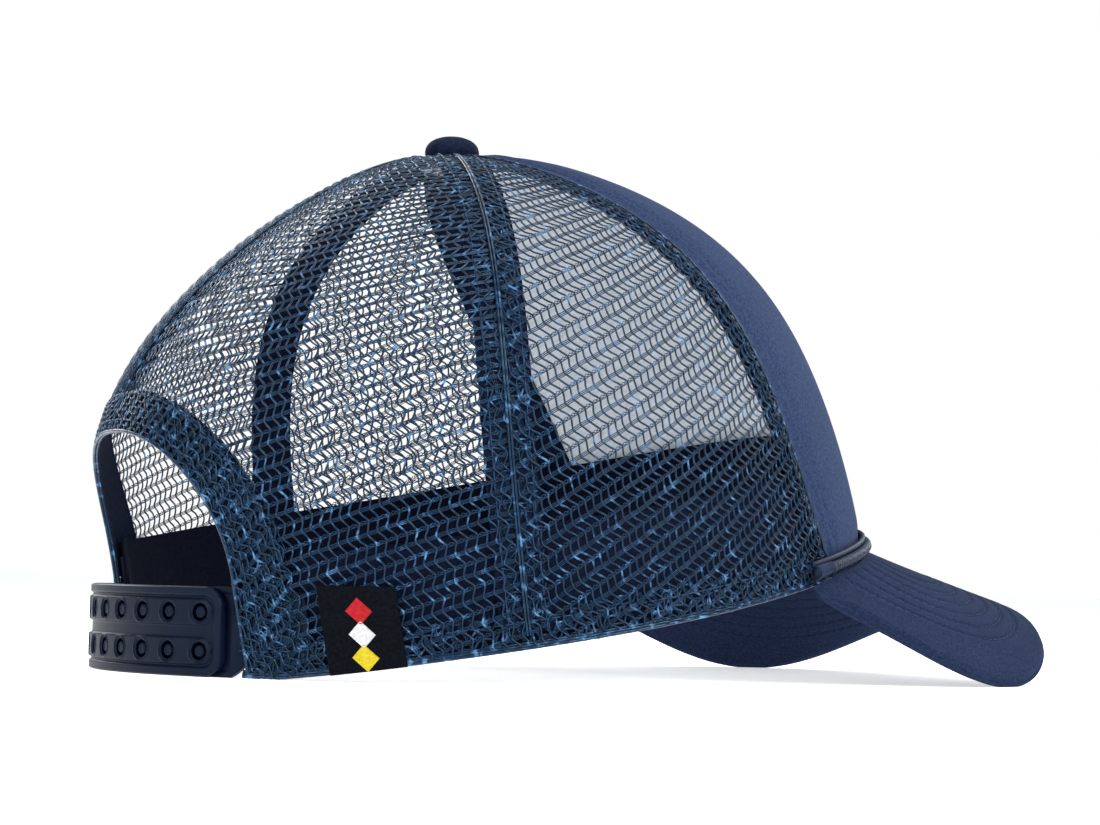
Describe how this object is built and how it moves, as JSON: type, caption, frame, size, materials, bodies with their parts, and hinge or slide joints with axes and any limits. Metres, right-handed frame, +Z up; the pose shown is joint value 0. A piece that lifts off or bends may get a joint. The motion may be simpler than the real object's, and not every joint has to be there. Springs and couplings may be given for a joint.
{
  "type": "trucker mesh cap",
  "caption": "Five-panel trucker cap with a padded foam front, open mesh sides and back, curved visor with rope trim, and a two-row snap closure on hinged plastic straps.",
  "frame": {"origin": "bottom centre of the bounding box; the table plane is z = 0", "axes": "+Z up, the visor points to -Y, the wearer's right side is -X"},
  "size_m": [0.1668, 0.2586, 0.141],
  "materials": {
    "foam_knit": "fine matt knit laminated to soft foam, navy",
    "mesh": "open raschel-knit polyester mesh, navy, slightly shiny threads",
    "tape": "woven tape, dark navy",
    "interlining": "stiff nonwoven, off-white, hidden",
    "sweatband": "brushed cotton twill, near-black navy",
    "board": "polyethylene stiffener, hidden",
    "visor_fabric": "fine matt knit with stitch rows, navy",
    "rope": "satin braided cord, navy",
    "thread": "polyester whipping thread, grey-blue",
    "button_fabric": "fabric-covered button, dark navy",
    "steel": "pressed steel, hidden",
    "strap_plastic": "satin moulded soft plastic, dark navy",
    "label": "fine black woven ribbon"
  },
  "bodies": {
    "cap": {"front_panel": "foam_knit", "mesh_panel_side_right": "mesh", "mesh_panel_side_left": "mesh", "mesh_panel_back_right": "mesh", "mesh_panel_back_left": "mesh", "seam_tape_front_right": "tape", "seam_tape_front_left": "tape", "seam_tape_side_right": "tape", "seam_tape_side_left": "tape", "seam_tape_center_back": "tape", "back_opening_binding": "tape", "sweatband_interlining": "interlining", "sweatband": "sweatband", "visor_board": "board", "visor_cover_top": "visor_fabric", "visor_cover_bottom": "visor_fabric", "visor_rope": "rope", "rope_tacks": "thread", "button_cover": "button_fabric", "button_shell": "steel", "button_rivet": "steel", "button_back_disc": "steel", "strap_tab_right": "strap_plastic", "strap_tab_left": "strap_plastic", "side_label": "label"},
    "strap_holes": {"snap_strap_holes": "strap_plastic"},
    "strap_pegs": {"snap_strap_pegs": "strap_plastic"}
  },
  "joints": [
    {"name": "strap_holes_swing", "type": "hinge", "parent": "cap", "child": "strap_holes", "pos_m": [0.04385, 0.11177, 0.0107], "axis": [0, 0, -1], "range_deg": [0, 60], "stiffness_Nm_per_rad": 0.01},
    {"name": "strap_pegs_swing", "type": "hinge", "parent": "cap", "child": "strap_pegs", "pos_m": [-0.04281, 0.11018, 0.0107], "axis": [0, 0, -1], "range_deg": [0, 35], "stiffness_Nm_per_rad": 0.01}
  ]
}
